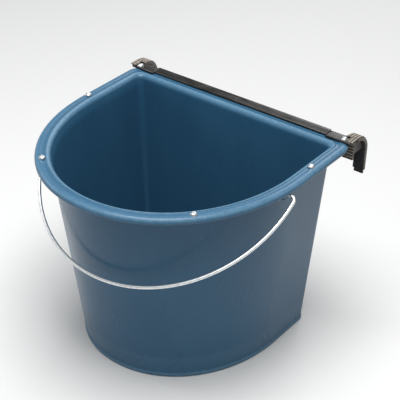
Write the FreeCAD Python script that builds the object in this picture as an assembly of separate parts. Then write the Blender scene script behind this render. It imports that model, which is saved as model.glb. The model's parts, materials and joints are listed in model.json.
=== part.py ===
import FreeCAD, Part
import math
import os

# Feed bucket that hooks over a stall partition.
# Frame: +X along the partition, +Y towards it, +Z up; the bucket stands on z = 0, and the
# origin is under the middle of the whole part's outline.  All sizes are in millimetres.

# ---- driving dimensions ----
rim_width = 360.0            # over the rolled rim
rim_depth = 340.5            # from the rim's flat back to the front of its curve
rim_top = 292.7              # height of the rim's top face
rim_flange = 21.4            # rim's width on the sides and front
rim_flange_back = 20.6       # rim's width along the back
rim_lip = 2.2                # chamfer along the rim's inner edge
rim_thickness = 3.0
rim_skirt_height = 8.5       # how far the rim's outer lip turns down
rim_skirt_thickness = 2.5
rim_straight = 118.7         # straight side, from the back to where the front curve starts
rim_corner = 18.0
rim_shoulder = 4.0           # radius along the rim's top outer edge
base_width = 275.0
base_back_inset = 17.5       # base back face, in front of the rim's back edge
base_depth = 246.2
base_straight = 74.0
body_corner = 8.0
wall = 3.0
floor_height = 4.0           # recess under the floor
floor_thickness = 3.5
foot_width = 5.0

bow_thickness = 3.0
bow_edge_gap = 3.5           # from the rim's outer edge to the bow
bow_wall_gap = 1.5           # from the wall to the bow

hook_thickness = 3.0
hook_width = 14.0
hook_centre_x = 175.5        # middle of the hook's arm
hook_plate_inner_x = 142.7
hook_plate_outer_x = 182.5
hook_plate_front = 11.0      # plate's reach over the rim, in front of its back edge
hook_bend_start = 8.0        # where the arm starts to bend down, behind the rim's back edge
hook_leg_end = 60.0          # lower end of the rear leg, below the rim's top
sleeve_wall = 1.2
sleeve_rib_height = 1.0
sleeve_rib_width = 1.6
sleeve_rib_pitch = 4.8
sleeve_start = 6.0
tongue_inner_x = 174.4       # sleeve's tongue, beside the bolt on top of the plate
tongue_front = 9.0
tongue_thickness = 1.2
sleeve_leg_end = 54.0
sleeve_ribs = 3

pad_inner_x = 160.5
pad_outer_x = 180.0
pad_front = 1.0              # pad's front face, behind the rim's back edge
pad_lip = 4.0                # thickness of the lip in front of the partition
pad_lip_end = 28.0           # lip's lower end, below the rim's top
partition_top = 19.0         # partition's top edge, below the rim's top
pad_groove = 1.6
pad_groove_depth = 0.9
pad_groove_pitch = 4.6
pad_grooves = 5

rail_front = 8.0             # rail's reach over the rim
rail_back = 5.5
rail_thickness = 3.5
rail_drop = 14.0             # rail's vertical leg, below the rim's top
rail_leg_gap = 1.5

rivet_shank_r = 2.4
rivet_head_r = 4.6
rivet_head_height = 2.2
rivet_tail_r = 3.6
rivet_tail_height = 3.5
mandrel_hole_r = 1.2
# name, x, distance in front of the rim's back edge
rivet_places = [
    ("left_rear", -171.5, 118.0),
    ("left_front", -107.0, 287.0),
    ("right_front", 120.4, 274.0),
    ("right_rear", 170.0, 89.0),
]

bolt_x = 168.5
bolt_y = 5.5                 # in front of the rim's back edge
bolt_shank_r = 3.0
bolt_hole_r = 3.3
bolt_head_r = 4.9
bolt_head_height = 3.4
washer_r = 5.6
washer_thickness = 1.0
nut_across_flats = 10.0
nut_height = 5.0

bail_wire_r = 2.25
bail_pivot_y = 146.7         # in front of the rim's back edge
bail_pivot_drop = 12.5       # below the rim's top
bail_half_span = 185.2
bail_reach = 198.0           # from the pivot to the middle of the bow
bail_bend_r = 8.0
bail_rest_angle = 33.7       # hanging, below the horizontal
bail_tip_x = 166.0
lug_outer_x = 173.0
lug_half_width = 8.5
lug_top = 6.5                # below the rim's top
lug_clearance = 0.08

# ---- worked out from the driving dimensions ----
half_rim = rim_width / 2
hook_inner_r = partition_top + hook_thickness
hook_outer_r = hook_inner_r + hook_thickness
sleeve_outer_r = hook_outer_r + sleeve_wall + sleeve_rib_height
hook_reach = hook_bend_start + sleeve_outer_r
rim_back = (rim_depth - hook_reach) / 2
rim_front = rim_back - rim_depth
bend_z = rim_top + hook_thickness - hook_outer_r
pivot_y = rim_back - bail_pivot_y
pivot_z = rim_top - bail_pivot_drop

# A D outline is (half width, back y, front y, straight side's length, corner radius).
rim_outline = (half_rim, rim_back, rim_front, rim_straight, rim_corner)
body_top = (
    half_rim - rim_flange + wall,
    rim_back - rim_flange_back + wall,
    rim_front + rim_flange - wall,
    rim_straight - rim_flange_back + wall,
    body_corner,
)
body_base = (
    base_width / 2,
    rim_back - base_back_inset,
    rim_back - base_back_inset - base_depth,
    base_straight,
    body_corner,
)


def point(x, y, z):
    return FreeCAD.Vector(x, y, z)


def box(low, high):
    size = high - low
    return Part.makeBox(size.x, size.y, size.z, low)


def grown(outline, amount):
    """The same D outline, moved outwards by amount (inwards when it is negative)."""
    half, back, front, straight, corner = outline
    return (half + amount, back + amount, front - amount, straight + amount, max(corner + amount, 1.5))


def body_outline(z):
    """The bucket's outer outline at height z, between its base and its rim."""
    share = z / rim_top
    return tuple(low + (high - low) * share for low, high in zip(body_base, body_top))


def quarter_ellipse(start, corner, end):
    curve = Part.BezierCurve()
    curve.setPoles([start, corner, end])
    curve.setWeight(2, math.sqrt(0.5))
    return curve.toShape()


def d_wire(outline, z):
    half, back, front, straight, corner = outline
    side_end = back - straight
    inset = corner * (1 - math.sqrt(0.5))
    edges = [
        Part.makeLine(point(corner - half, back, z), point(half - corner, back, z)),
        Part.Arc(
            point(half - corner, back, z),
            point(half - inset, back - inset, z),
            point(half, back - corner, z),
        ).toShape(),
        Part.makeLine(point(half, back - corner, z), point(half, side_end, z)),
        quarter_ellipse(point(half, side_end, z), point(half, front, z), point(0, front, z)),
        quarter_ellipse(point(0, front, z), point(-half, front, z), point(-half, side_end, z)),
        Part.makeLine(point(-half, side_end, z), point(-half, back - corner, z)),
        Part.Arc(
            point(-half, back - corner, z),
            point(inset - half, back - inset, z),
            point(corner - half, back, z),
        ).toShape(),
    ]
    return Part.Wire(edges)


def d_solid(low_outline, low_z, high_outline, high_z):
    return Part.makeLoft([d_wire(low_outline, low_z), d_wire(high_outline, high_z)], True, True)


def d_slab(outline, low_z, high_z):
    return Part.Face(d_wire(outline, low_z)).extrude(point(0, 0, high_z - low_z))


def cylinder_z(x, y, low_z, high_z, radius):
    return Part.makeCylinder(radius, high_z - low_z, point(x, y, low_z), point(0, 0, 1))


def revolved(profile, x, y, z):
    """Turn an (r, z) outline round the vertical line through (x, y), starting at height z."""
    corners = [point(x + r, y, z + h) for r, h in profile]
    face = Part.Face(Part.makePolygon(corners + corners[:1]))
    return face.revolve(point(x, y, z), point(0, 0, 1), 360)


def dome_profile(radius, height, steps=6):
    """Points of a low dome, from its edge to its middle."""
    ball = (radius ** 2 + height ** 2) / (2 * height)
    edge_angle = math.asin(radius / ball)
    angles = [edge_angle * (1 - step / steps) for step in range(steps + 1)]
    return [(ball * math.sin(a), ball * math.cos(a) - (ball - height)) for a in angles]


def side_strip(outer_offset, inner_offset, start_y, leg_end_z, low_x, high_x):
    """A strap that runs back over the partition and down behind it.

    The offsets are radii of its two faces in the bend; y counts from the rim's back edge.
    """
    bend_y = rim_back + hook_bend_start
    half_turn = math.sqrt(0.5)

    def on_bend(radius, y_share, z_share):
        return point(low_x, bend_y + radius * y_share, bend_z + radius * z_share)

    outer_top = point(low_x, rim_back + start_y, bend_z + outer_offset)
    inner_top = point(low_x, rim_back + start_y, bend_z + inner_offset)
    outer_foot = point(low_x, bend_y + outer_offset, leg_end_z)
    inner_foot = point(low_x, bend_y + inner_offset, leg_end_z)
    edges = [
        Part.makeLine(inner_top, outer_top),
        Part.makeLine(outer_top, on_bend(outer_offset, 0, 1)),
        Part.Arc(
            on_bend(outer_offset, 0, 1),
            on_bend(outer_offset, half_turn, half_turn),
            on_bend(outer_offset, 1, 0),
        ).toShape(),
        Part.makeLine(on_bend(outer_offset, 1, 0), outer_foot),
        Part.makeLine(outer_foot, inner_foot),
        Part.makeLine(inner_foot, on_bend(inner_offset, 1, 0)),
        Part.Arc(
            on_bend(inner_offset, 1, 0),
            on_bend(inner_offset, half_turn, half_turn),
            on_bend(inner_offset, 0, 1),
        ).toShape(),
        Part.makeLine(on_bend(inner_offset, 0, 1), inner_top),
    ]
    return Part.Face(Part.Wire(edges)).extrude(point(high_x - low_x, 0, 0))


def mirrored(shape):
    return shape.mirror(point(0, 0, 0), point(1, 0, 0))


def bolt_holes(low_z, high_z):
    holes = [
        cylinder_z(side * bolt_x, rim_back - bolt_y, low_z, high_z, bolt_hole_r)
        for side in (-1, 1)
    ]
    return Part.makeCompound(holes)


def rivet_holes(low_z, high_z):
    holes = [
        cylinder_z(x, rim_back - reach, low_z, high_z, rivet_shank_r)
        for _, x, reach in rivet_places
    ]
    return Part.makeCompound(holes)


def bail_lug():
    """The moulded lug under the rim that the right end of the bail turns in."""
    low = point(bail_tip_x - 8, pivot_y - lug_half_width, pivot_z)
    high = point(lug_outer_x, pivot_y + lug_half_width, rim_top - lug_top)
    block = box(low, high)
    boss = Part.makeCylinder(
        lug_half_width, lug_outer_x - low.x, point(low.x, pivot_y, pivot_z), point(1, 0, 0)
    )
    under_bow = box(
        point(low.x - 1, pivot_y - 20, pivot_z - 20), point(lug_outer_x + 1, pivot_y + 20, high.z)
    )
    return block.fuse(boss.common(under_bow)).removeSplitter()


def bail_socket():
    return Part.makeCylinder(
        bail_wire_r + lug_clearance,
        lug_outer_x - bail_tip_x + 2,
        point(bail_tip_x - 0.5, pivot_y, pivot_z),
        point(1, 0, 0),
    )


def make_bucket_shell():
    skirt_low = rim_top - rim_skirt_height
    lip_under = rim_top - rim_thickness
    rim = d_slab(rim_outline, skirt_low, rim_top)
    top_edges = [
        edge
        for edge in rim.Edges
        if edge.BoundBox.ZMin > rim_top - 0.01
    ]
    rim = rim.makeFillet(rim_shoulder * 0.6, top_edges)
    rim = rim.cut(d_slab(grown(rim_outline, -rim_skirt_thickness), skirt_low - 1, lip_under))
    # the skirt stops short of the flat back, where the rail and the hooks lie
    notch_low = point(-rim_width, rim_back - rim_corner, skirt_low - 1)
    rim = rim.cut(box(notch_low, point(rim_width, rim_back + 10, lip_under)))
    body = d_solid(body_base, 0, body_top, rim_top)
    shell = body.fuse(rim)
    for lug in (bail_lug(), mirrored(bail_lug())):
        shell = shell.fuse(lug)
    floor_top = floor_height + floor_thickness
    inside_low = grown(body_outline(floor_top), -wall)
    inside_high = grown(body_outline(rim_top + 1), -wall)
    shell = shell.cut(d_solid(inside_low, floor_top, inside_high, rim_top + 1))
    lip_low = grown(body_outline(rim_top - rim_lip), -wall)
    lip_high = grown(body_outline(rim_top + 1), rim_lip + 1 - wall)
    shell = shell.cut(d_solid(lip_low, rim_top - rim_lip, lip_high, rim_top + 1))
    recess = grown(body_base, -foot_width)
    shell = shell.cut(d_slab(recess, -1, floor_height))
    shell = shell.cut(rivet_holes(rim_top - rim_skirt_height, rim_top + 1))
    shell = shell.cut(bolt_holes(rim_top - rim_skirt_height, rim_top + 1))
    for socket in (bail_socket(), mirrored(bail_socket())):
        shell = shell.cut(socket)
    return shell.removeSplitter()


def make_support_bow():
    """Flat steel bow under the rim: along both sides and round the front."""
    top = rim_top - rim_thickness
    low = top - bow_thickness
    inner = d_slab(grown(body_top, bow_wall_gap), low - 1, top + 1)
    bow = d_slab(grown(rim_outline, -bow_edge_gap), low, top).cut(inner)
    end_y = rim_back - 10.5
    bow = bow.cut(box(point(-rim_width, end_y, low - 1), point(rim_width, rim_back + 1, top + 1)))
    end_outline = d_slab(grown(rim_outline, -1.2), low, top)
    body_room = d_slab(grown(body_top, 0.8), low - 1, top + 1)
    for side in (-1, 1):
        reach = sorted((side * 163.0, side * 178.0))
        pad = box(point(reach[0], rim_back - rim_corner + 0.4, low), point(reach[1], rim_back, top))
        pad = pad.common(end_outline).cut(body_room)
        bow = bow.fuse(pad)
    bow = bow.cut(rivet_holes(low - 1, top + 1))
    bow = bow.cut(bolt_holes(low - 1, top + 1))
    return bow.removeSplitter()


def make_back_rail():
    """Angle bar along the rim's flat back, between the two hooks."""
    half = hook_plate_inner_x
    lying = box(
        point(-half, rim_back - rail_front, rim_top),
        point(half, rim_back + rail_back, rim_top + rail_thickness),
    )
    hanging = box(
        point(-half, rim_back + rail_leg_gap, rim_top - rail_drop),
        point(half, rim_back + rail_back, rim_top),
    )
    return lying.fuse(hanging).removeSplitter()


def make_hook():
    low_x = hook_centre_x - hook_width / 2
    high_x = hook_centre_x + hook_width / 2
    leg_end_z = rim_top - hook_leg_end
    plate = box(
        point(hook_plate_inner_x, rim_back - hook_plate_front, rim_top),
        point(hook_plate_outer_x, rim_back + rail_back, rim_top + hook_thickness),
    )
    corner_edges = [
        edge
        for edge in plate.Edges
        if edge.BoundBox.ZLength > 1 and edge.BoundBox.XMin > hook_plate_outer_x - 1
    ]
    plate = plate.makeFillet(6.0, corner_edges[:1])
    strap = side_strip(hook_outer_r, hook_inner_r, 0, leg_end_z, low_x, high_x)
    hook = plate.fuse(strap)
    return hook.cut(bolt_holes(rim_top - 1, rim_top + hook_thickness + 1)).removeSplitter()


def make_hook_sleeve():
    """Ribbed rubber sleeve on the hook's arm and rear leg."""
    low_x = hook_centre_x - hook_width / 2 - sleeve_wall
    high_x = hook_centre_x + hook_width / 2 + sleeve_wall
    leg_end_z = rim_top - sleeve_leg_end
    outer = hook_outer_r + sleeve_wall
    inner = hook_inner_r - sleeve_wall
    sleeve = side_strip(outer, inner, sleeve_start, leg_end_z, low_x, high_x)
    for index in range(sleeve_ribs):
        middle = hook_centre_x + (index - (sleeve_ribs - 1) / 2) * sleeve_rib_pitch
        rib = side_strip(
            outer + sleeve_rib_height,
            outer - 0.5,
            sleeve_start,
            leg_end_z,
            middle - sleeve_rib_width / 2,
            middle + sleeve_rib_width / 2,
        )
        sleeve = sleeve.fuse(rib)
    tongue_low = rim_top + hook_thickness
    tongue = box(
        point(tongue_inner_x, rim_back - tongue_front, tongue_low),
        point(high_x, rim_back + sleeve_start + 1, tongue_low + tongue_thickness),
    )
    sleeve = sleeve.fuse(tongue)
    for index in range(1, sleeve_ribs):
        middle = hook_centre_x + (index - (sleeve_ribs - 1) / 2) * sleeve_rib_pitch
        rib = box(
            point(middle - sleeve_rib_width / 2, rim_back - tongue_front, tongue_low),
            point(
                middle + sleeve_rib_width / 2,
                rim_back + sleeve_start + 1,
                tongue_low + tongue_thickness + sleeve_rib_height,
            ),
        )
        sleeve = sleeve.fuse(rib)
    strap_low_x = hook_centre_x - hook_width / 2
    strap_high_x = hook_centre_x + hook_width / 2
    strap = side_strip(
        hook_outer_r, hook_inner_r, sleeve_start - 2, leg_end_z - 2, strap_low_x, strap_high_x
    )
    return sleeve.cut(strap).removeSplitter()


def make_hook_pad():
    """Rubber block under the hook's arm; it sits on the partition's top front edge."""
    rear_r = hook_inner_r - sleeve_wall
    top = rim_top - sleeve_wall
    seat = rim_top - partition_top
    bend_y = rim_back + hook_bend_start
    front = rim_back + pad_front
    block = box(point(pad_inner_x, bend_y, seat), point(pad_outer_x, bend_y + rear_r, top))
    under_bend = Part.makeCylinder(
        rear_r, pad_outer_x - pad_inner_x, point(pad_inner_x, bend_y, bend_z), point(1, 0, 0)
    )
    pad = block.common(under_bend)
    pad = pad.fuse(box(point(pad_inner_x, front, seat), point(pad_outer_x, bend_y, top)))
    pad = pad.fuse(
        box(point(pad_inner_x, front, top), point(pad_outer_x, rim_back + rail_back, rim_top))
    )
    pad = pad.fuse(
        box(
            point(pad_inner_x, front, rim_top - pad_lip_end),
            point(pad_outer_x, front + pad_lip, seat),
        )
    )
    for index in range(pad_grooves):
        groove_z = rim_top - pad_lip_end + 3.4 + index * pad_groove_pitch
        groove = box(
            point(pad_inner_x - 1, front - 1, groove_z),
            point(pad_outer_x + 1, front + pad_groove_depth, groove_z + pad_groove),
        )
        pad = pad.cut(groove)
    return pad.removeSplitter()


def make_rivet(x, reach):
    grip = rim_thickness + bow_thickness
    dome = dome_profile(rivet_head_r, rivet_head_height)
    hole_rim = [p for p in dome if p[0] > mandrel_hole_r]
    profile = [(mandrel_hole_r, -grip - rivet_tail_height + 0.5)]
    profile += [(rivet_tail_r - 0.8, -grip - rivet_tail_height)]
    profile += [(rivet_tail_r, -grip - rivet_tail_height * 0.6), (rivet_tail_r - 0.4, -grip)]
    profile += [(rivet_shank_r, -grip), (rivet_shank_r, 0)]
    profile += hole_rim
    profile += [(mandrel_hole_r, hole_rim[-1][1])]
    return revolved(profile, x, rim_back - reach, rim_top)


def make_bolt():
    seat = rim_top + hook_thickness
    shank_end = -(hook_thickness + rim_thickness + bow_thickness + washer_thickness + nut_height + 1.5)
    profile = [(0, shank_end), (bolt_shank_r - 0.6, shank_end), (bolt_shank_r, shank_end + 0.6)]
    profile += [(bolt_shank_r, 0)]
    profile += dome_profile(bolt_head_r, bolt_head_height)
    return revolved(profile, bolt_x, rim_back - bolt_y, seat)


def make_washer():
    top = rim_top - rim_thickness - bow_thickness
    low = top - washer_thickness
    disc = cylinder_z(bolt_x, rim_back - bolt_y, low, top, washer_r)
    return disc.cut(cylinder_z(bolt_x, rim_back - bolt_y, low - 1, top + 1, bolt_shank_r))


def make_nut():
    top = rim_top - rim_thickness - bow_thickness - washer_thickness
    corner_r = nut_across_flats / math.sqrt(3)
    corners = []
    for step in range(7):
        angle = math.radians(60 * step)
        corners.append(
            point(
                bolt_x + corner_r * math.cos(angle),
                rim_back - bolt_y + corner_r * math.sin(angle),
                top - nut_height,
            )
        )
    nut = Part.Face(Part.makePolygon(corners)).extrude(point(0, 0, nut_height))
    return nut.cut(
        cylinder_z(bolt_x, rim_back - bolt_y, top - nut_height - 1, top + 1, bolt_shank_r)
    )


def make_bail():
    """Bare wire bail: a bow with both ends bent in to the lugs' sockets."""
    down = math.radians(bail_rest_angle)

    def at(x, reach):
        return point(x, pivot_y - reach * math.cos(down), pivot_z - reach * math.sin(down))

    span = bail_half_span
    bend = bail_bend_r
    mid_bend = bend * (1 - math.sqrt(0.5))

    def end(side):
        stub = Part.makeLine(at(side * bail_tip_x, 0), at(side * (span - bend), 0))
        turn = Part.Arc(
            at(side * (span - bend), 0),
            at(side * (span - mid_bend), mid_bend),
            at(side * span, bend),
        ).toShape()
        quarter = quarter_ellipse(
            at(side * span, bend), at(side * span, bail_reach), at(0, bail_reach)
        )
        return [stub, turn, quarter]

    right = end(1)
    left = end(-1)
    path = Part.Wire(right + left[::-1])
    section = Part.Wire(
        Part.makeCircle(bail_wire_r, at(bail_tip_x, 0), point(1, 0, 0))
    )
    return path.makePipeShell([section], True, True)


def save(name, shape):
    shape.exportStep(os.path.join("parts", name + ".step"))
    size = shape.BoundBox
    print(
        "%-24s solids %d valid %s volume %.0f  x %.1f..%.1f  y %.1f..%.1f  z %.1f..%.1f"
        % (
            name, len(shape.Solids), shape.isValid(), shape.Volume,
            size.XMin, size.XMax, size.YMin, size.YMax, size.ZMin, size.ZMax,
        )
    )


def save_pair(name, right_shape):
    save(name + "_right", right_shape)
    save(name + "_left", mirrored(right_shape))


os.makedirs("parts", exist_ok=True)
save("bucket_shell", make_bucket_shell())
save("support_bow", make_support_bow())
save("back_rail", make_back_rail())
save_pair("hook", make_hook())
save_pair("hook_sleeve", make_hook_sleeve())
save_pair("hook_pad", make_hook_pad())
for place, rivet_x, rivet_reach in rivet_places:
    save("rim_rivet_" + place, make_rivet(rivet_x, rivet_reach))
save_pair("hook_bolt", make_bolt())
save_pair("bolt_washer", make_washer())
save_pair("bolt_nut", make_nut())
save("bail_handle", make_bail())
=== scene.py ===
import json
import math

import bmesh
import bpy
from mathutils import Matrix, Vector


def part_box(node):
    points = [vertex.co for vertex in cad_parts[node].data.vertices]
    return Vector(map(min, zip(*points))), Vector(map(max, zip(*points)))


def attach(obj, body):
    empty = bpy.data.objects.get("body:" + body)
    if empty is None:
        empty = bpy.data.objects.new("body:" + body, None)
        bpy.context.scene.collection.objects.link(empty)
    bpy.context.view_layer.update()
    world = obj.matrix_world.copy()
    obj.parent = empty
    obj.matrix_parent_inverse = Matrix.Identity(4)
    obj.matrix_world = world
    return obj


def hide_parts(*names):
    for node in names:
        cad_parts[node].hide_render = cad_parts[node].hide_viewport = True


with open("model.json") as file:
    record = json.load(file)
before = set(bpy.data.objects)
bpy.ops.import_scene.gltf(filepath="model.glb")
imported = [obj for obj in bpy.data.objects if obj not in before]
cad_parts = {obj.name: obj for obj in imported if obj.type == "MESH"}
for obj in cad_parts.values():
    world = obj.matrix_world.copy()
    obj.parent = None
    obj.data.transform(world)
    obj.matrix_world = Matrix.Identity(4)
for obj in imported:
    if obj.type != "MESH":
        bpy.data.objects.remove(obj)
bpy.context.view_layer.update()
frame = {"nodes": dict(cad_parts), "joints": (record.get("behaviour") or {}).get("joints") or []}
scene = bpy.context.scene
mm = 0.001
print("frame loaded:", len(frame["nodes"]), "nodes")

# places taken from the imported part
shellLow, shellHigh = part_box("bucket_shell")
rimTop = shellHigh.z
rimBack = shellHigh.y
rimFront = shellLow.y
rimHalf = shellHigh.x
pivot = Vector(frame["joints"][0]["pos_m"])


# an sRGB hex colour as linear RGBA
def linear(hexColour):
    parts = [int(hexColour[i:i + 2], 16) / 255 for i in (1, 3, 5)]
    return tuple(p / 12.92 if p <= 0.04045 else ((p + 0.055) / 1.055) ** 2.4 for p in parts) + (1.0,)


def addNode(tree, kind, values=None, links=None, **settings):
    made = tree.nodes.new(kind)
    for name, value in settings.items():
        setattr(made, name, value)
    for name, value in (values or {}).items():
        made.inputs[name].default_value = value
    for name, source in (links or {}).items():
        tree.links.new(source, made.inputs[name])
    return made


def newMaterial(name):
    material = bpy.data.materials.new(name)
    material.use_nodes = True
    tree = material.node_tree
    tree.nodes.clear()
    shader = addNode(tree, "ShaderNodeBsdfPrincipled")
    addNode(tree, "ShaderNodeOutputMaterial", links={"Surface": shader.outputs["BSDF"]})
    return material, tree, shader


def meshObject(name, vertices, faces, material, smooth=True):
    mesh = bpy.data.meshes.new(name)
    mesh.from_pydata([tuple(v) for v in vertices], [], faces)
    mesh.materials.append(material)
    if smooth:
        mesh.polygons.foreach_set("use_smooth", [True] * len(mesh.polygons))
    mesh.update()
    made = bpy.data.objects.new(name, mesh)
    scene.collection.objects.link(made)
    return made


def faceOutwards(made):
    work = bmesh.new()
    work.from_mesh(made.data)
    bmesh.ops.remove_doubles(work, verts=work.verts, dist=1e-6)
    bmesh.ops.recalc_face_normals(work, faces=work.faces)
    work.to_mesh(made.data)
    work.free()


# Injection-moulded polypropylene, petrol blue: a satin gloss with a faint orange peel, soft flow clouds,
# fine upright hair scratches, and a paler tone on the rim's crest and shoulder and the foot bead: rubbed
# edges and a painted highlight.
plasticLook = {
    "blue": "#264a66",
    "blueLight": "#2f5974",
    # paler tone for rubbed edges, also a painted highlight on the rim's crest and shoulder and the foot bead
    "rubbedAndHighlit": "#7397ad",
    "dust": "#75858f",
    "roughness": 0.24,
    "peelSize": 1.8,      # mm between bumps of the orange peel
    "flowSize": 80.0,     # mm, length of a flow cloud
    "scuffSize": 5.0,
    "scratchSize": 2.6,   # mm across a scratch; a real one is finer, and would not show
    "sinkSize": 45.0,     # mm between sink marks
    "ior": 1.49,
    "specular": 0.26,
}


def mouldedPolypropylene():
    look = plasticLook
    material, tree, shader = newMaterial("moulded_polypropylene_blue")
    place = addNode(tree, "ShaderNodeTexCoord").outputs["Object"]
    flowMap = addNode(tree, "ShaderNodeMapping", {"Scale": (1.0, 1.0, 0.3)}, {"Vector": place})
    flow = addNode(
        tree, "ShaderNodeTexNoise",
        {"Scale": 1 / (look["flowSize"] * mm), "Detail": 4.0, "Roughness": 0.55},
        {"Vector": flowMap.outputs["Vector"]},
    )
    tint = addNode(
        tree, "ShaderNodeMix", {"A": linear(look["blue"]), "B": linear(look["blueLight"])},
        {"Factor": flow.outputs["Fac"]}, data_type="RGBA",
    )
    wearAndHighlight = addNode(tree, "ShaderNodeAttribute", attribute_name="edgeWear")
    # rubbed edges and a painted highlight: a soft paler tone where the vertex wear value is high, on the
    # rim's crest and shoulder and the foot bead, broken up by a fine noise
    scuffs = addNode(
        tree, "ShaderNodeTexNoise",
        {"Scale": 1 / (look["scuffSize"] * mm), "Detail": 8.0, "Roughness": 0.65, "Distortion": 0.4},
        {"Vector": place},
    )
    rubAndHighlightAmount = addNode(
        tree, "ShaderNodeMapRange", {"From Min": 0.35, "From Max": 0.7, "To Min": 0.25, "To Max": 0.5},
        {"Value": scuffs.outputs["Fac"]},
    )
    rubAndHighlightMask = addNode(
        tree, "ShaderNodeMath", None, {0: rubAndHighlightAmount.outputs["Result"], 1: wearAndHighlight.outputs["Fac"]},
        operation="MULTIPLY", use_clamp=True,
    )
    rubbedAndHighlit = addNode(
        tree, "ShaderNodeMix", {"B": linear(look["rubbedAndHighlit"])},
        {"Factor": rubAndHighlightMask.outputs[0], "A": tint.outputs["Result"]}, data_type="RGBA",
    )
    # hair scratches: thin stretched streaks, faint
    scratchMap = addNode(tree, "ShaderNodeMapping", {"Scale": (1.0, 1.0, 0.06)}, {"Vector": place})
    scratches = addNode(
        tree, "ShaderNodeTexNoise",
        {"Scale": 1 / (look["scratchSize"] * mm), "Detail": 3.0, "Roughness": 0.5},
        {"Vector": scratchMap.outputs["Vector"]},
    )
    scratchMask = addNode(
        tree, "ShaderNodeMapRange", {"From Min": 0.66, "From Max": 0.8, "To Max": 0.16},
        {"Value": scratches.outputs["Fac"]},
    )
    scratched = addNode(
        tree, "ShaderNodeMix", {"B": linear(look["dust"])},
        {"Factor": scratchMask.outputs["Result"], "A": rubbedAndHighlit.outputs["Result"]}, data_type="RGBA",
    )
    tree.links.new(scratched.outputs["Result"], shader.inputs["Base Color"])
    gloss = addNode(
        tree, "ShaderNodeMapRange",
        {
            "From Min": 0.3, "From Max": 0.7,
            "To Min": look["roughness"] - 0.04, "To Max": look["roughness"] + 0.06,
        },
        {"Value": flow.outputs["Fac"]},
    )
    roughness = addNode(
        tree, "ShaderNodeMath", {1: 0.25}, {0: rubAndHighlightMask.outputs[0], 2: gloss.outputs["Result"]},
        operation="MULTIPLY_ADD",
    )
    tree.links.new(roughness.outputs[0], shader.inputs["Roughness"])
    peel = addNode(
        tree, "ShaderNodeTexNoise", {"Scale": 1 / (look["peelSize"] * mm), "Detail": 2.0}, {"Vector": place}
    )
    sink = addNode(  # shallow sink marks, which make the reflections waver
        tree, "ShaderNodeTexNoise", {"Scale": 1 / (look["sinkSize"] * mm), "Detail": 1.0}, {"Vector": place}
    )
    sinkBump = addNode(
        tree, "ShaderNodeBump", {"Strength": 0.22, "Distance": 1.2 * mm}, {"Height": sink.outputs["Fac"]}
    )
    peelBump = addNode(
        tree, "ShaderNodeBump", {"Strength": 0.10, "Distance": 0.1 * mm},
        {"Height": peel.outputs["Fac"], "Normal": sinkBump.outputs["Normal"]},
    )
    tree.links.new(peelBump.outputs["Normal"], shader.inputs["Normal"])
    shader.inputs["IOR"].default_value = look["ior"]
    shader.inputs["Specular IOR Level"].default_value = look["specular"]
    return material


# Black coats. Powder coat: an even satin skin with a fine pebble. Dip coat: thicker, softer and glossier.
# Both wear to a dark grey-brown in long soft patches.
coatCloud = 9.0  # mm, size of a worn patch
coatLooks = {
    "powder_coated_steel_black": {
        "black": "#0d0d0d", "worn": "#302d2a", "pebble": 1.1, "roughness": 0.34, "wornFrom": 0.6,
    },
    "dip_coated_steel_black": {
        "black": "#101112", "worn": "#2c2c2d", "pebble": 2.2, "roughness": 0.3, "wornFrom": 0.62,
    },
}


def blackCoat(name):
    look = coatLooks[name]
    material, tree, shader = newMaterial(name)
    place = addNode(tree, "ShaderNodeTexCoord").outputs["Object"]
    cloudMap = addNode(tree, "ShaderNodeMapping", {"Scale": (0.25, 1.0, 1.0)}, {"Vector": place})
    cloud = addNode(
        tree, "ShaderNodeTexNoise", {"Scale": 1 / (coatCloud * mm), "Detail": 7.0, "Roughness": 0.62},
        {"Vector": cloudMap.outputs["Vector"]},
    )
    wornMask = addNode(
        tree, "ShaderNodeMapRange",
        {"From Min": look["wornFrom"] - 0.22, "From Max": look["wornFrom"] + 0.16},
        {"Value": cloud.outputs["Fac"]},
    )
    tint = addNode(
        tree, "ShaderNodeMix", {"A": linear(look["black"]), "B": linear(look["worn"])},
        {"Factor": wornMask.outputs["Result"]}, data_type="RGBA",
    )
    tree.links.new(tint.outputs["Result"], shader.inputs["Base Color"])
    rough = addNode(
        tree, "ShaderNodeMapRange", {"To Min": look["roughness"] - 0.08, "To Max": look["roughness"] + 0.22},
        {"Value": wornMask.outputs["Result"]},
    )
    tree.links.new(rough.outputs["Result"], shader.inputs["Roughness"])
    pebble = addNode(
        tree, "ShaderNodeTexNoise", {"Scale": 1 / (look["pebble"] * mm), "Detail": 3.0}, {"Vector": place}
    )
    bump = addNode(
        tree, "ShaderNodeBump", {"Strength": 0.35, "Distance": 0.15 * mm}, {"Height": pebble.outputs["Fac"]}
    )
    tree.links.new(bump.outputs["Normal"], shader.inputs["Normal"])
    return material


# Extruded EPDM rubber: charcoal brown, its rib crests paler, partly rubbed wear and partly a painted
# highlight, and its grooves left dark.
rubberLook = {
    # crest: the pale tone of the rib crests, rubbed wear and a painted highlight
    "dark": "#0d0c0b", "crestWearAndHighlight": "#a0968b", "dusty": "#2c2824", "roughness": 0.46,
    "dustSize": 4.0, "skinSize": 0.7,  # mm
}


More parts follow.
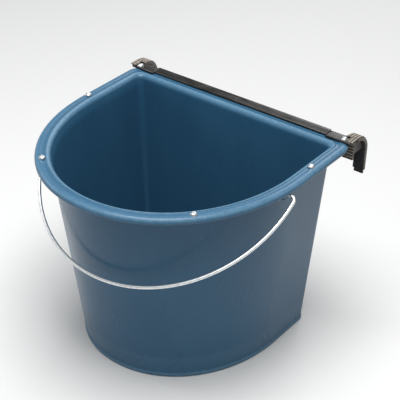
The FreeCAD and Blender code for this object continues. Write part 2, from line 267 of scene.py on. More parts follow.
def extrudedRubber():
    look = rubberLook
    material, tree, shader = newMaterial("extruded_epdm_rubber")
    place = addNode(tree, "ShaderNodeTexCoord").outputs["Object"]
    dust = addNode(
        tree, "ShaderNodeTexNoise",
        {"Scale": 1 / (look["dustSize"] * mm), "Detail": 7.0, "Roughness": 0.65},
        {"Vector": place},
    )
    dustMask = addNode(
        tree, "ShaderNodeMapRange", {"From Min": 0.4, "From Max": 0.75}, {"Value": dust.outputs["Fac"]}
    )
    base = addNode(
        tree, "ShaderNodeMix", {"A": linear(look["dark"]), "B": linear(look["dusty"])},
        {"Factor": dustMask.outputs["Result"]}, data_type="RGBA",
    )
    # pale rib crests: rubbed wear and a painted highlight, from the vertex wear value
    crestWearAndHighlight = addNode(tree, "ShaderNodeAttribute", attribute_name="edgeWear")
    crestWearAndHighlightAmount = addNode(
        tree, "ShaderNodeMath", None, {0: crestWearAndHighlight.outputs["Fac"], 1: dust.outputs["Fac"]},
        operation="MULTIPLY", use_clamp=True,
    )
    crestWearAndHighlightMask = addNode(
        tree, "ShaderNodeMath", {1: 1.5}, {0: crestWearAndHighlightAmount.outputs[0]}, operation="MULTIPLY", use_clamp=True
    )
    rubbedAndHighlit = addNode(
        tree, "ShaderNodeMix", {"B": linear(look["crestWearAndHighlight"])},
        {"Factor": crestWearAndHighlightMask.outputs[0], "A": base.outputs["Result"]}, data_type="RGBA",
    )
    tree.links.new(rubbedAndHighlit.outputs["Result"], shader.inputs["Base Color"])
    rough = addNode(
        tree, "ShaderNodeMapRange", {"To Min": look["roughness"] - 0.1, "To Max": look["roughness"] + 0.15},
        {"Value": dust.outputs["Fac"]},
    )
    tree.links.new(rough.outputs["Result"], shader.inputs["Roughness"])
    skin = addNode(
        tree, "ShaderNodeTexNoise", {"Scale": 1 / (look["skinSize"] * mm), "Detail": 2.0}, {"Vector": place}
    )
    bump = addNode(
        tree, "ShaderNodeBump", {"Strength": 0.35, "Distance": 0.1 * mm}, {"Height": skin.outputs["Fac"]}
    )
    tree.links.new(bump.outputs["Normal"], shader.inputs["Normal"])
    return material


# Bright metals: galvanised drawn wire with a soft spangle, zinc plate with a fine bloom, plain aluminium.
drawMark = 0.8  # mm, size of the fine marks left by drawing and plating
metalLooks = {
    "galvanised_drawn_wire": {"light": "#f4f5f5", "dark": "#d8dbdc", "roughness": 0.42, "cloud": 5.0},
    "bright_zinc_plate": {"light": "#e6e7e6", "dark": "#b4b7b9", "roughness": 0.26, "cloud": 2.5},
    "plain_aluminium": {"light": "#eeefef", "dark": "#c2c5c7", "roughness": 0.3, "cloud": 2.0},
}


def brightMetal(name):
    look = metalLooks[name]
    material, tree, shader = newMaterial(name)
    place = addNode(tree, "ShaderNodeTexCoord").outputs["Object"]
    cloud = addNode(
        tree, "ShaderNodeTexNoise", {"Scale": 1 / (look["cloud"] * mm), "Detail": 6.0, "Roughness": 0.6},
        {"Vector": place},
    )
    mask = addNode(
        tree, "ShaderNodeMapRange", {"From Min": 0.35, "From Max": 0.62}, {"Value": cloud.outputs["Fac"]}
    )
    tint = addNode(
        tree, "ShaderNodeMix", {"A": linear(look["dark"]), "B": linear(look["light"])},
        {"Factor": mask.outputs["Result"]}, data_type="RGBA",
    )
    tree.links.new(tint.outputs["Result"], shader.inputs["Base Color"])
    shader.inputs["Metallic"].default_value = 1.0
    rough = addNode(
        tree, "ShaderNodeMapRange", {"To Min": look["roughness"] + 0.1, "To Max": look["roughness"] - 0.06},
        {"Value": mask.outputs["Result"]},
    )
    tree.links.new(rough.outputs["Result"], shader.inputs["Roughness"])
    lines = addNode(
        tree, "ShaderNodeTexNoise", {"Scale": 1 / (drawMark * mm), "Detail": 4.0}, {"Vector": place}
    )
    bump = addNode(
        tree, "ShaderNodeBump", {"Strength": 0.12, "Distance": 0.06 * mm}, {"Height": lines.outputs["Fac"]}
    )
    tree.links.new(bump.outputs["Normal"], shader.inputs["Normal"])
    return material


bluePlastic = mouldedPolypropylene()
powderCoat = blackCoat("powder_coated_steel_black")
dipCoat = blackCoat("dip_coated_steel_black")
rubber = extrudedRubber()
galvanisedWire = brightMetal("galvanised_drawn_wire")
zincPlate = brightMetal("bright_zinc_plate")
aluminium = brightMetal("plain_aluminium")
print("materials made")


cameraPlace = {
    "location": (0.9022, -1.2461, 1.1638),
    "aim": (0.0211, 0.0350, 0.1987),
    "roll": 2.42,         # degrees, clockwise as the camera sees it
    "lens": 122.9,
}


def makeCamera():
    data = bpy.data.cameras.new("camera")
    data.lens = cameraPlace["lens"]
    data.sensor_width = 36
    data.clip_start = 0.05
    made = bpy.data.objects.new("camera", data)
    scene.collection.objects.link(made)
    location = Vector(cameraPlace["location"])
    turn = (Vector(cameraPlace["aim"]) - location).to_track_quat("-Z", "Y").to_matrix().to_4x4()
    roll = Matrix.Rotation(math.radians(cameraPlace["roll"]), 4, "Z")
    made.matrix_world = Matrix.Translation(location) @ turn @ roll
    scene.camera = made


lightLook = {
    "sky": "#eef1f4", "skyStrength": 0.4,
    "key": (0.15, -0.35, 1.9), "keyPower": 50, "keySize": 1.2,
    "fill": (-2.0, -0.6, 1.0), "fillPower": 6, "fillSize": 0.7,
    "back": (-0.4, 1.9, 1.6), "backPower": 16, "backSize": 1.2,
    "floor": "#cfcfce", "floorRoughness": 0.7, "floorHalf": 6.0,
    "aim": (0, 0, 0.18),
}


def areaLight(name, place, power, size):
    data = bpy.data.lights.new(name, "AREA")
    data.energy = power
    data.size = size
    made = bpy.data.objects.new(name, data)
    scene.collection.objects.link(made)
    place = Vector(place)
    turn = (Vector(lightLook["aim"]) - place).to_track_quat("-Z", "Y").to_matrix().to_4x4()
    made.matrix_world = Matrix.Translation(place) @ turn


def makeStudio():
    look = lightLook
    world = bpy.data.worlds.new("studio")
    scene.world = world
    world.use_nodes = True
    background = world.node_tree.nodes["Background"]
    background.inputs["Color"].default_value = linear(look["sky"])
    background.inputs["Strength"].default_value = look["skyStrength"]
    for name in ("key", "fill", "back"):
        areaLight(name, look[name], look[name + "Power"], look[name + "Size"])
    material, tree, shader = newMaterial("studio_floor")
    shader.inputs["Base Color"].default_value = linear(look["floor"])
    shader.inputs["Roughness"].default_value = look["floorRoughness"]
    size = look["floorHalf"]
    corners = [(-size, -size, 0), (size, -size, 0), (size, size, 0), (-size, size, 0)]
    floor = meshObject("floor", corners, [(0, 1, 2, 3)], material, smooth=False)
    scene.view_settings.view_transform = "Standard"
    scene.view_settings.look = "None"


makeCamera()
makeStudio()
print("camera and light made")


# A D outline is (half width, back y, front y, straight side, corner radius), in metres.
shellSize = {
    "flange": 21.4, "flangeBack": 20.6, "straight": 118.7, "corner": 18.0, "wall": 3.0,
    "topPlate": 3.0, "lip": 7.5,
    "baseHalf": 137.5, "baseInset": 17.5, "baseDepth": 246.2, "baseStraight": 74.0, "bodyCorner": 8.0,
    "footWidth": 5.0, "footHeight": 4.0, "floor": 7.5, "floorFillet": 9.0,
    "beadHeight": 6.0,
    # the last rings on each side of the floor are inset past the straight side's length, so they fold:
    # a known fault, still to be mended
    "floorInsets": (110, 80, 50, 25, 12), "footInsets": (20, 40, 70, 100, 125),
    "floorSteps": 6, "wallSteps": 26, "lipSteps": 10, "outerSteps": 34,
    "roundness": 2.06,    # exponent of the front curve; 2 is a plain ellipse
    "backSteps": 20, "cornerSteps": 9, "sideSteps": 14, "frontSteps": 66,
}


def outlineAt(share, low, high):
    return tuple(a + (b - a) * share for a, b in zip(low, high))


def grown(outline, amount):
    half, back, front, straight, corner = outline
    return (half + amount, back + amount, front - amount, straight + amount, max(corner + amount, 1.5 * mm))


def outlinePoints(outline):
    half, back, front, straight, corner = outline
    size = shellSize
    points = []
    for step in range(size["backSteps"]):
        share = step / size["backSteps"]
        points.append((corner - half + 2 * (half - corner) * share, back))
    for step in range(size["cornerSteps"]):
        angle = math.pi / 2 * (1 - step / size["cornerSteps"])
        points.append((half - corner + corner * math.cos(angle), back - corner + corner * math.sin(angle)))
    sideEnd = back - straight
    for step in range(size["sideSteps"]):
        share = step / size["sideSteps"]
        points.append((half, back - corner + (sideEnd - back + corner) * share))
    power = 2 / size["roundness"]
    for step in range(size["frontSteps"] + 1):
        angle = math.pi / 2 * step / size["frontSteps"]
        points.append((
            half * max(math.cos(angle), 0) ** power,
            sideEnd - (sideEnd - front) * math.sin(angle) ** power,
        ))
    right = points[size["backSteps"] + 1:-1]
    return points + [(-x, y) for x, y in reversed(right)]


def shellOutlines():
    size = shellSize
    rim = (rimHalf, rimBack, rimFront, size["straight"] * mm, size["corner"] * mm)
    inner = (
        rimHalf - size["flange"] * mm,
        rimBack - size["flangeBack"] * mm,
        rimFront + size["flange"] * mm,
        (size["straight"] - size["flangeBack"]) * mm,
        (size["bodyCorner"] - size["wall"] + 4) * mm,
    )
    bodyTop = grown(inner, size["wall"] * mm)
    baseBack = rimBack - size["baseInset"] * mm
    bodyBase = (
        size["baseHalf"] * mm, baseBack, baseBack - size["baseDepth"] * mm,
        size["baseStraight"] * mm, size["bodyCorner"] * mm,
    )
    return rim, inner, bodyTop, bodyBase


# the rim's section as (share from the outer edge to the inner wall, mm below the top, wear), where the wear
# value also paints a highlight, highest on the outer shoulder
rimSection = (
    (0.66, 0.12, 0.6), (0.62, 0.35, 0.35), (0.57, 0.75, 0.15), (0.52, 0.95, 0.1), (0.47, 0.85, 0.1),
    (0.41, 0.5, 0.2), (0.35, 0.22, 0.3), (0.29, 0.1, 0.35), (0.24, 0.15, 0.4), (0.19, 0.38, 0.5),
    (0.145, 0.8, 0.7), (0.105, 1.35, 0.85), (0.07, 2.05, 0.9), (0.04, 2.95, 0.8), (0.018, 3.95, 0.6),
    (0.005, 5.0, 0.4), (0.0, 6.0, 0.3), (0.0, 7.0, 0.3), (0.006, 7.8, 0.45), (0.025, 8.35, 0.5),
    (0.055, 8.5, 0.35), (0.085, 8.4, 0.2), (0.108, 7.9, 0.1), (0.117, 7.0, 0.0), (0.12, 5.2, 0.0),
    (0.13, 3.9, 0.0), (0.15, 3.2, 0.0), (0.18, 3.0, 0.0),
)


def shellRows():
    size = shellSize
    rim, inner, bodyTop, bodyBase = shellOutlines()

    def bodyAt(z, inset=0.0):
        return grown(outlineAt(z / rimTop, bodyBase, bodyTop), -inset)

    # each row's third value is wear plus painted highlight: paler on the lip's crest, the rim's shoulder and
    # the foot bead
    rows = []  # (outline, z, wear), from the middle of the floor outwards
    floorZ = size["floor"] * mm
    wall = size["wall"] * mm
    fillet = size["floorFillet"] * mm
    for inset in size["floorInsets"]:
        rows.append((bodyAt(floorZ, wall + fillet + inset * mm), floorZ, 0.1))
    for step in range(size["floorSteps"] + 1):
        angle = math.pi / 2 * step / size["floorSteps"]
        z = floorZ + fillet * (1 - math.cos(angle))
        rows.append((bodyAt(z, wall + fillet * (1 - math.sin(angle))), z, 0.1))
    steps = size["wallSteps"]
    low, high = floorZ + fillet, rimTop - (size["lip"] + 2) * mm
    for step in range(1, steps + 1):
        z = low + (high - low) * step / steps
        rows.append((bodyAt(z, wall), z, 0.0))
    # the lip: a quarter round from the wall up to the rim's inner crest
    lipShare = size["lip"] / size["flange"]
    lipSteps = size["lipSteps"]
    for step in range(lipSteps + 1):
        angle = math.pi / 2 * (1 - step / lipSteps)
        share = 1 - lipShare * (1 - math.sin(angle))
        drop = size["lip"] * (1 - math.cos(angle))
        # the wear value here is mostly a painted highlight, strongest at the crest
        rows.append((outlineAt(share, rim, inner), rimTop - drop * mm, 0.9 - 0.8 * math.sin(angle) ** 3))
    for share, drop, wearAndHighlight in rimSection:
        rows.append((outlineAt(share, rim, inner), rimTop - drop * mm, wearAndHighlight))
    for grow, drop in ((4.0, 3.0), (1.6, 3.2), (0.5, 3.9), (0.0, 5.0), (0.0, 7.0)):
        rows.append((grown(bodyAt(rimTop - drop * mm), grow * mm), rimTop - drop * mm, 0.0))
    steps = size["outerSteps"]
    low, high = (size["beadHeight"] + 1.4) * mm, rimTop - 10 * mm
    for step in range(steps + 1):
        z = high + (low - high) * step / steps
        rows.append((bodyAt(z), z, 0.0 if step < steps - 3 else 0.2))
    # a small bead round the foot, paler as rubbed wear and a painted highlight, and the foot's flat ring
    bead = ((0.25, 6.6, 0.4), (0.75, 6.1, 0.7), (1.1, 5.4, 0.9), (1.2, 4.6, 0.9), (1.2, 2.0, 0.8),
            (1.05, 1.0, 0.9), (0.6, 0.3, 0.9), (0.0, 0.0, 0.8))
    for grow, z, wearAndHighlight in bead:
        rows.append((grown(bodyAt(z * mm), grow * mm), z * mm, wearAndHighlight))
    foot = size["footWidth"]
    for inset, z in ((0.6, 0.0), (foot - 0.8, 0.0), (foot - 0.2, 0.3), (foot, 0.9), (foot, 3.0),
                     (foot + 0.5, 3.7), (foot + 1.4, 4.0)):
        rows.append((bodyAt(0, inset * mm), z * mm, 0.3))
    for inset in size["footInsets"]:
        rows.append((bodyAt(0, inset * mm), size["footHeight"] * mm, 0.1))
    return rows


# closed skin over rings that all have the same number of points
def loft(name, rings, material, wearsAndHighlights=None):
    count = len(rings[0])
    vertices = [point for ring in rings for point in ring]
    faces = [
        (row * count + step, row * count + (step + 1) % count,
         (row + 1) * count + (step + 1) % count, (row + 1) * count + step)
        for row in range(len(rings) - 1) for step in range(count)
    ]
    faces.append(tuple(range(count)))
    faces.append(tuple(range((len(rings) - 1) * count, len(rings) * count)))
    made = meshObject(name, vertices, faces, material)
    # per-vertex wear and painted highlight, which the materials turn into a paler tone
    wearAndHighlight = made.data.attributes.new("edgeWear", "FLOAT", "POINT")
    wearAndHighlight.data.foreach_set("value", wearsAndHighlights or [0.3] * len(vertices))
    faceOutwards(made)
    return made


def joined(name, pieces):
    first = pieces[0]
    with bpy.context.temp_override(active_object=first, selected_editable_objects=pieces):
        bpy.ops.object.join()
    first.name = name
    first.data.name = name
    return first


def makeShellBody():
    notch = rimBack - shellSize["corner"] * mm
    plate = shellSize["topPlate"] * mm
    rings, wearsAndHighlights = [], []
    skirtRow = 0
    for outline, z, wearAndHighlight in shellRows():
        ring = []
        inSkirt = outline[0] > rimHalf - 4 * mm and z < rimTop - plate
        skirtRow += inSkirt
        for x, y in outlinePoints(outline):
            # the skirt stops short of the flat back, where the rail and the hooks lie
            clipped = inSkirt and y > notch
            ring.append((x, y, rimTop - plate - 0.02 * mm * skirtRow if clipped else z))
        rings.append(ring)
        wearsAndHighlights += [wearAndHighlight] * len(ring)
    return loft("bucket_body", rings, bluePlastic, wearsAndHighlights)


lugSize = {"inside": 158.5, "outside": 173.0, "halfWidth": 8.5, "top": 6.5, "socket": 2.33, "tip": 165.5}


# the moulded lug under the rim that one end of the bail turns in
def makeLug(side):
    size = lugSize
    count = 48

    def ring(x, radius, square):
        points = []
        for step in range(count):
            angle = 2 * math.pi * step / count
            y, z = radius * math.cos(angle), radius * math.sin(angle)
            if square and z > 0:  # flat cheeks and a flat top above the pivot
                reach = min(radius / max(abs(math.cos(angle)), 1e-6), square / max(math.sin(angle), 1e-6))
                y, z = reach * math.cos(angle), reach * math.sin(angle)
            points.append((side * x * mm, pivot.y + y * mm, pivot.z + z * mm))
        return points

    top = (rimTop - pivot.z) / mm - size["top"]
    half = size["halfWidth"]
    rings = [ring(size["inside"], half, top), ring(size["outside"] - 0.8, half, top)]
    rings += [ring(size["outside"] - 0.25, half - 0.3, top - 0.3)]
    rings += [ring(size["outside"], half - 1.0, top - 1.0)]
    rings += [ring(size["outside"], size["socket"] + 0.5, 0), ring(size["outside"] - 0.5, size["socket"], 0)]
    rings += [ring(size["tip"], size["socket"], 0)]
    return loft("lug", rings, bluePlastic)


bucketBody = joined("bucket_body", [makeShellBody(), makeLug(1), makeLug(-1)])
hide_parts("bucket_shell")
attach(bucketBody, "bucket")
print("bucket body made:", len(bucketBody.data.polygons), "faces")


# a Geometry Nodes tree with named inputs; closeTree realises it and sets its material
def newTree(name, inputs):
    tree = bpy.data.node_groups.new(name, "GeometryNodeTree")
    tree.interface.new_socket("Geometry", in_out="INPUT", socket_type="NodeSocketGeometry")
    for label, kind in inputs:
        tree.interface.new_socket(label, in_out="INPUT", socket_type=kind)
    tree.interface.new_socket("Geometry", in_out="OUTPUT", socket_type="NodeSocketGeometry")
    return tree, addNode(tree, "NodeGroupInput").outputs


def closeTree(tree, geometry, material):
    realised = addNode(tree, "GeometryNodeRealizeInstances", links={"Geometry": geometry})
    painted = addNode(
        tree, "GeometryNodeSetMaterial", links={"Geometry": realised.outputs[0], "Material": material}
    )
    addNode(tree, "NodeGroupOutput", links={"Geometry": painted.outputs[0]})


# a round wire along a curve
def wireTree():
    tree, given = newTree("wire_along_path", (
        ("Wire Radius", "NodeSocketFloat"), ("Sides", "NodeSocketInt"), ("Material", "NodeSocketMaterial"),
    ))
    section = addNode(
        tree, "GeometryNodeCurvePrimitiveCircle",
        links={"Resolution": given["Sides"], "Radius": given["Wire Radius"]},
    )
    wire = addNode(
        tree, "GeometryNodeCurveToMesh", {"Fill Caps": True},
        {"Curve": given["Geometry"], "Profile Curve": section.outputs["Curve"]},
    )
    smooth = addNode(tree, "GeometryNodeSetShadeSmooth", links={"Geometry": wire.outputs["Mesh"]})
    closeTree(tree, smooth.outputs[0], given["Material"])
    return tree


# one turned part on every point, each at its own angle about Z
def fastenerTree():
    tree, given = newTree("fasteners_on_points", (
        ("Part", "NodeSocketObject"), ("Seed", "NodeSocketInt"), ("Material", "NodeSocketMaterial"),
    ))
    part = addNode(tree, "GeometryNodeObjectInfo", links={"Object": given["Part"]})
    spin = addNode(
        tree, "FunctionNodeRandomValue", links={"Seed": given["Seed"]}, data_type="FLOAT"
    )
    spin.inputs[3].default_value = 2 * math.pi
    turn = addNode(tree, "ShaderNodeCombineXYZ", links={"Z": spin.outputs[1]})
    placed = addNode(
        tree, "GeometryNodeInstanceOnPoints",
        links={"Points": given["Geometry"], "Instance": part.outputs["Geometry"],
               "Rotation": turn.outputs["Vector"]},
    )
    closeTree(tree, placed.outputs["Instances"], given["Material"])
    return tree


def runTree(made, tree, values):
    modifier = made.modifiers.new(tree.name, "NODES")
    modifier.node_group = tree
    for item in tree.interface.items_tree:
        if item.in_out == "INPUT" and item.name in values:
            modifier[item.identifier] = values[item.name]
    bpy.context.view_layer.update()
    mesh = bpy.data.meshes.new_from_object(made.evaluated_get(bpy.context.evaluated_depsgraph_get()))
    mesh.name = made.name
    plain = bpy.data.objects.new(made.name + "_mesh", mesh)
    scene.collection.objects.link(plain)
    name = made.name
    bpy.data.objects.remove(made)
    plain.name = name
    return plain


# the wire: a stub in each lug, a tight bend, then one sweeping quarter ellipse to the middle
bailSize = {
    "wire": 2.25, "halfSpan": 185.2, "reach": 198.0, "bend": 8.0, "restAngle": 33.7, "tip": 166.0,
    "sides": 28, "bendSteps": 12, "sweepSteps": 60,
}


def bailPath():
    size = bailSize
    bend = size["bend"]
    flat = [(size["tip"], 0.0), (size["tip"] + 3, 0.0)]
    for step in range(size["bendSteps"] + 1):
        angle = math.pi / 2 * step / size["bendSteps"]
        flat.append((size["halfSpan"] - bend + bend * math.sin(angle), bend * (1 - math.cos(angle))))
    for step in range(1, size["sweepSteps"] + 1):
        angle = math.pi / 2 * step / size["sweepSteps"]
        flat.append((size["halfSpan"] * math.cos(angle), bend + (size["reach"] - bend) * math.sin(angle)))
    flat += [(-x, reach) for x, reach in reversed(flat[:-1])]
    rest = math.radians(size["restAngle"])
    return [
        Vector((x * mm, pivot.y - reach * math.cos(rest) * mm, pivot.z - reach * math.sin(rest) * mm))
        for x, reach in flat
    ]


def makeBail():
    path = bailPath()
    data = bpy.data.curves.new("bail_wire", "CURVE")
    data.dimensions = "3D"
    spline = data.splines.new("POLY")
    spline.points.add(len(path) - 1)
    for point, place in zip(spline.points, path):
        point.co = (*place, 1.0)
    made = bpy.data.objects.new("bail_wire", data)
    scene.collection.objects.link(made)
    bail = runTree(made, wireTree(), {
        "Wire Radius": bailSize["wire"] * mm, "Sides": bailSize["sides"], "Material": galvanisedWire,
    })
    faceOutwards(bail)
    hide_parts("bail_handle")
    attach(bail, "bail")
    return bail


makeBail()
print("bail made")


# rivets, bolts, washers and nuts
# turned sections as (radius, height) in mm, from the top of the head down; height 0 is the seat
fasteners = {
    "rim_rivets": {
        "nodes": "rim_rivet", "slot": "rivet_aluminium", "material": aluminium, "seed": 3, "sides": 40,
        "section": (
            (1.2, 0.4), (1.2, 2.9), (1.4, 3.35), (1.9, 3.45), (2.6, 3.2), (3.3, 2.7), (3.9, 2.0),
            (4.35, 1.15), (4.6, 0.4), (4.55, 0.0), (4.2, -0.25), (2.4, -0.25), (2.4, -6.0), (3.2, -6.1),
            (3.6, -7.4), (3.3, -8.8), (2.4, -9.4), (1.2, -9.5), (1.2, -3.0),
        ),
    },
    "hook_bolts": {
        "nodes": "hook_bolt", "slot": "zinc_steel", "material": zincPlate, "seed": 5, "sides": 40,
        "section": (
            (0.9, 3.4), (1.8, 3.28), (2.7, 2.95), (3.5, 2.4), (4.15, 1.7), (4.6, 0.95), (4.85, 0.4),
            (4.9, 0.05), (4.7, 0.0), (3.0, 0.0), (3.0, -16.0), (2.5, -16.5),
        ),
    },
    "bolt_washers": {
        "nodes": "bolt_washer", "slot": "zinc_steel", "material": zincPlate, "seed": 7, "sides": 40,
        "section": ((3.3, 0.85), (3.5, 1.0), (5.4, 1.0), (5.6, 0.8), (5.6, 0.2), (5.4, 0.0), (3.5, 0.0),
                    (3.3, 0.15)),
    },
    "bolt_nuts": {
        "nodes": "bolt_nut", "slot": "zinc_steel", "material": zincPlate, "seed": 9, "sides": 6,
        "section": ((3.25, 4.7), (3.6, 5.0), (5.2, 5.0), (5.75, 4.6), (5.75, 0.4), (5.2, 0.0), (3.6, 0.0),
                    (3.25, 0.3)),
    },
}


def turnedPart(name, section, sides, material, ring):
    rows = [
        [(r * mm * math.cos(2 * math.pi * k / sides), r * mm * math.sin(2 * math.pi * k / sides), z * mm)
         for k in range(sides)]
        for r, z in section
    ]
    if ring:
        rows.append(rows[0])
    made = loft(name, rows, material)
    if ring:  # a ring has no end caps
        work = bmesh.new()
        work.from_mesh(made.data)
        caps = [face for face in work.faces if len(face.verts) == sides]
        bmesh.ops.delete(work, geom=caps, context="FACES_ONLY")
        bmesh.ops.recalc_face_normals(work, faces=work.faces)
        work.to_mesh(made.data)
        work.free()
    return made


def seatOf(node, kind):
    low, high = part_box(node)
    middle = (low + high) / 2
    seat = {"rim_rivet": rimTop - 0.1 * mm, "hook_bolt": high.z - 3.4 * mm}.get(kind, low.z)
    return (middle.x, middle.y, seat)


def makeFasteners():
    tree = fastenerTree()
    for name, look in fasteners.items():
        ring = name in ("bolt_washers", "bolt_nuts")
        part = turnedPart(name + "_part", look["section"], look["sides"], look["material"], ring)
        if look["sides"] < 12:
            part.data.polygons.foreach_set("use_smooth", [False] * len(part.data.polygons))
        nodes = [node for node in frame["nodes"] if node.startswith(look["nodes"])]
        points = bpy.data.meshes.new(name)
        points.from_pydata([seatOf(node, look["nodes"]) for node in nodes], [], [])
        made = bpy.data.objects.new(name, points)
        scene.collection.objects.link(made)
        piece = runTree(made, tree, {"Part": part, "Seed": look["seed"], "Material": look["material"]})
        bpy.data.objects.remove(part)
        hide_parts(*nodes)
        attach(piece, "bucket")


makeFasteners()
print("fasteners made")


# rail, hooks, sleeves and pads, in mm
hookSize = {
    "centre": 175.5, "width": 14.0, "thickness": 3.0, "bendStart": 8.0, "outer": 25.0, "legEnd": 60.0,
    "plateInner": 142.7, "plateOuter": 182.5, "plateFront": 11.0, "plateBack": 5.5, "plateCorner": 6.0,
    "sleeveWall": 1.2, "sleeveStart": 5.8, "sleeveLegEnd": 54.0, "ribs": 4, "ribHeight": 1.1,
    "padInner": 160.5, "padOuter": 180.0, "padFront": 1.0, "padLip": 4.0, "padLipEnd": 28.0,
    "seat": 19.0, "grooves": 5, "groovePitch": 4.6, "grooveDepth": 1.0,
    "tongueInner": 174.2, "tongueFront": 9.0,
}
railSize = {
    "half": 142.6, "front": 8.0, "back": 5.5, "thickness": 3.5, "drop": 14.0, "legGap": 1.5, "lip": 1.3,
}


# a point given in mm: across, behind the rim's flat back, above the rim's top
def at(x, behind, above):
    return (x * mm, rimBack + behind * mm, rimTop + above * mm)


# points at radius from the bend's centre, as (behind, above, normal's behind, normal's above)
def hookPath(start, legEnd, radius):
    size = hookSize
    centreZ = size["thickness"] - size["outer"]
    middle = (start + size["bendStart"]) / 2
    path = [(start, centreZ + radius, 0.0, 1.0), (middle, centreZ + radius, 0.0, 1.0)]
    for step in range(19):
        angle = math.pi / 2 * step / 18
        path.append((
            size["bendStart"] + radius * math.sin(angle), centreZ + radius * math.cos(angle),
            math.sin(angle), math.cos(angle),
        ))
    for share in (0.5, 1.0):
        path.append((size["bendStart"] + radius, centreZ + (-legEnd - centreZ) * share, 1.0, 0.0))
    return path


# a section of (across, outwards) points, in mm from the strap's outer face, along the hook
def sweepHook(name, side, section, start, legEnd, material, wearsAndHighlights=None):
    size = hookSize
    rings = []
    for behind, above, outY, outZ in hookPath(start, legEnd, size["outer"]):
        rings.append([
            at(side * (size["centre"] + across), behind + outY * out, above + outZ * out)
            for across, out in section
        ])
    allWearsAndHighlights = wearsAndHighlights * len(rings) if wearsAndHighlights else None
    return loft(name, rings, material, allWearsAndHighlights)


# section of a box with rounded corners, as (across, up) points
def roundedBox(low, high, radius, corner=4):
    points = []
    for cx, cy, first in ((high[0] - radius, high[1] - radius, 0), (low[0] + radius, high[1] - radius, 90),
                          (low[0] + radius, low[1] + radius, 180), (high[0] - radius, low[1] + radius, 270)):
        for step in range(corner + 1):
            angle = math.radians(first + 90 * step / corner)
            points.append((cx + radius * math.cos(angle), cy + radius * math.sin(angle)))
    return points


# a (behind, above) section drawn out along X from low to high, in mm, with softened ends
def extrudeX(name, section, low, high, material, wearsAndHighlights=None, taper=0.5):
    middleY = sum(p[0] for p in section) / len(section)
    middleZ = sum(p[1] for p in section) / len(section)
    width = max(p[0] for p in section) - min(p[0] for p in section)
    rings = []
    for x, shrink in ((low, taper), (low + taper * 0.35, taper * 0.3), (low + taper, 0.0),
                      (high - taper, 0.0), (high - taper * 0.35, taper * 0.3), (high, taper)):
        scale = 1 - 2 * shrink / width
        rings.append([
            at(x, middleY + (y - middleY) * scale, middleZ + (z - middleZ) * scale) for y, z in section
        ])
    return loft(name, rings, material, wearsAndHighlights * len(rings) if wearsAndHighlights else None)


def makeRail():
    size = railSize
    front, back, top = -size["front"], size["back"], size["thickness"]
    drop, gap = -size["drop"], size["legGap"]
    section = [
        (front + 0.5, 0.0), (front, 0.6), (front, top - 1.0), (front + 0.3, top - 0.3), (front + 1.0, top),
        (back - 3.4, top), (back - 2.6, top + 0.3), (back - 2.0, top + size["lip"] - 0.2),
        (back - 1.4, top + size["lip"]), (back - 0.6, top + size["lip"] - 0.2), (back, top + 0.3),
        (back, top - 1.0), (back, drop + 0.6), (back - 0.5, drop), (gap + 0.5, drop), (gap, drop + 0.6),
        (gap, -0.8), (gap - 0.3, -0.2), (gap - 1.0, 0.0),
    ]
    rail = extrudeX("back_rail_bar", section, -size["half"], size["half"], powderCoat, taper=0.4)
    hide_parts("back_rail")
    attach(rail, "bucket")


def makeHook(side, tag):
    size = hookSize
    low, high = sorted((side * size["plateInner"], side * size["plateOuter"]))
    front, back, thick = -size["plateFront"], size["plateBack"], size["thickness"]
    # plate: an outline on the rim with one rounded outer corner, as rings from its underside up
    corner = size["plateCorner"]
    outline = [(size["plateInner"], back), (size["plateInner"], front)]
    for step in range(9):
        angle = math.pi / 2 * step / 8
        outline.append((
            size["plateOuter"] - corner + corner * math.sin(angle), front + corner - corner * math.cos(angle),
        ))
    outline.append((size["plateOuter"], back))
    middleX = sum(p[0] for p in outline) / len(outline)
    middleY = (front + back) / 2
    rings = []
    for above, shrink in ((0.0, 0.4), (0.4, 0.0), (thick - 0.7, 0.0), (thick - 0.2, 0.25), (thick, 0.8)):
        rings.append([
            at(side * (x + shrink * (middleX - x) / 20), y + shrink * (middleY - y) / 8, above)
            for x, y in outline
        ])
    plate = loft("plate", rings, powderCoat)
    section = roundedBox((-size["width"] / 2, -thick), (size["width"] / 2, 0.0), 0.6)
    strap = sweepHook("strap", side, section, 0.0, size["legEnd"], powderCoat)
    hook = joined("hook_" + tag + "_strap", [plate, strap])
    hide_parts("hook_" + tag)
    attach(hook, "bucket")


# rounded ribs across the sleeve: 0 in a groove, 1 on a crest; the same value makes the crests paler, as
# rubbed wear and a painted highlight
def ribHeight(across, half):
    wave = 0.5 - 0.5 * math.cos(2 * math.pi * hookSize["ribs"] * (across + half) / (2 * half))
    return wave ** 0.7


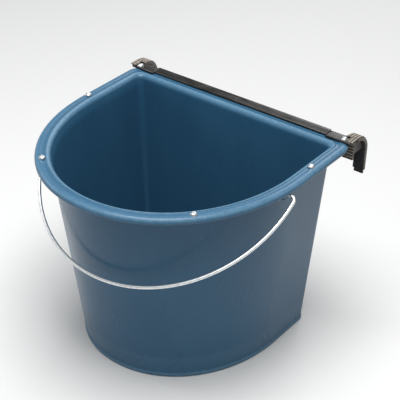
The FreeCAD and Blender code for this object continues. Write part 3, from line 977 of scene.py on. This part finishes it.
def makeSleeve(side, tag):
    size = hookSize
    half = size["width"] / 2 + size["sleeveWall"]
    wall, thick = size["sleeveWall"], size["thickness"]
    section, wearsAndHighlights = [], []
    steps = 64
    for step in range(steps + 1):  # ribbed outer face
        across = half - 2 * half * step / steps
        rib = ribHeight(across, half)
        section.append((across, wall - 0.25 + size["ribHeight"] * rib))
        wearsAndHighlights.append(rib)
    # the side beads, paler as they bulge: rubbed wear and a painted highlight
    for above, out in ((0.3, 0.25), (-0.9, 0.7), (-2.1, 0.15), (-3.3, 0.7), (-4.0, 0.2)):
        section.append((-half - out + 0.2, above))
        wearsAndHighlights.append(out)
    inner = -thick - wall
    for across in (-half + 0.8, -half * 0.4, half * 0.4, half - 0.8):
        section.append((across, inner))
        wearsAndHighlights.append(0.0)
    for above, out in ((-4.0, 0.2), (-3.3, 0.7), (-2.1, 0.15), (-0.9, 0.7), (0.3, 0.25)):
        section.append((half + out - 0.2, above))
        wearsAndHighlights.append(out)
    sleeve = sweepHook("sleeve", side, section, size["sleeveStart"], size["sleeveLegEnd"], rubber, wearsAndHighlights)
    # tongue: the same ribs carried forward over the plate, beside the bolt, their crests paler as rubbed wear
    # and a painted highlight
    low, high = size["tongueInner"], size["centre"] + half
    across = [low + (high - low) * step / 40 for step in range(41)]
    rings, tongueWearsAndHighlights = [], []
    for behind, lift in ((-size["tongueFront"], 0.35), (-size["tongueFront"] + 0.5, 0.9),
                         (-size["tongueFront"] + 1.5, 1.0), (0.0, 1.0), (size["sleeveStart"] + 1.5, 1.0)):
        ring, ringWearsAndHighlights = [], []
        for x in across:
            rib = ribHeight(x - size["centre"], half)
            ring.append(at(side * x, behind, thick + (wall - 0.25 + size["ribHeight"] * rib) * lift))
            ringWearsAndHighlights.append(rib)
        under = thick + 0.02 if behind < size["plateBack"] else thick + 0.05
        ring += [at(side * high, behind, under), at(side * low, behind, under)]
        rings.append(ring)
        tongueWearsAndHighlights += ringWearsAndHighlights + [0.0, 0.0]
    tongue = loft("tongue", rings, rubber, tongueWearsAndHighlights)
    made = joined("hook_sleeve_" + tag + "_ribbed", [sleeve, tongue])
    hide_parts("hook_sleeve_" + tag)
    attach(made, "bucket")


def makePad(side, tag):
    size = hookSize
    front = size["padFront"]
    low, top, seat = -size["padLipEnd"], -size["sleeveWall"], -size["seat"]
    radius = size["outer"] - size["thickness"] - size["sleeveWall"]
    centreZ = size["thickness"] - size["outer"]
    section, wearsAndHighlights = [], []
    grooveLow = low + 2.0
    steps = 60
    ribbedTop = grooveLow + size["groovePitch"] * size["grooves"]
    for step in range(steps + 1):  # front face, from its foot up, with rounded grooves
        z = low + 0.8 + (top - low - 1.2) * step / steps
        depth = 0.0
        if z < ribbedTop:
            depth = 0.5 + 0.5 * math.cos(2 * math.pi * (z - grooveLow) / size["groovePitch"])
        section.append((front + size["grooveDepth"] * depth ** 1.5, z))
        # groove crests paler: rubbed wear and a painted highlight
        wearsAndHighlights.append(1 - depth)
    section += [(front + 0.4, top), (size["bendStart"], top)]
    wearsAndHighlights += [0.3, 0.1]
    first = math.pi / 2
    last = math.asin((seat - centreZ) / radius)
    for step in range(1, 13):
        angle = first + (last - first) * step / 12
        section.append((size["bendStart"] + radius * math.cos(angle), centreZ + radius * math.sin(angle)))
        wearsAndHighlights.append(0.1)
    section += [(front + size["padLip"], seat), (front + size["padLip"], low + 0.8),
                (front + size["padLip"] - 0.8, low), (front + 0.8, low)]
    wearsAndHighlights += [0.2, 0.3, 0.5, 0.5]
    across = sorted((side * size["padInner"], side * size["padOuter"]))
    pad = extrudeX("hook_pad_" + tag + "_ribbed", section, *across, rubber, wearsAndHighlights, taper=0.5)
    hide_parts("hook_pad_" + tag)
    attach(pad, "bucket")


makeRail()
for side, tag in ((1, "right"), (-1, "left")):
    makeHook(side, tag)
    makeSleeve(side, tag)
    makePad(side, tag)
print("rail and hooks made")

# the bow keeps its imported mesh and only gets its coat
bow = frame["nodes"]["support_bow"]
bow.data.materials.clear()
bow.data.materials.append(dipCoat)
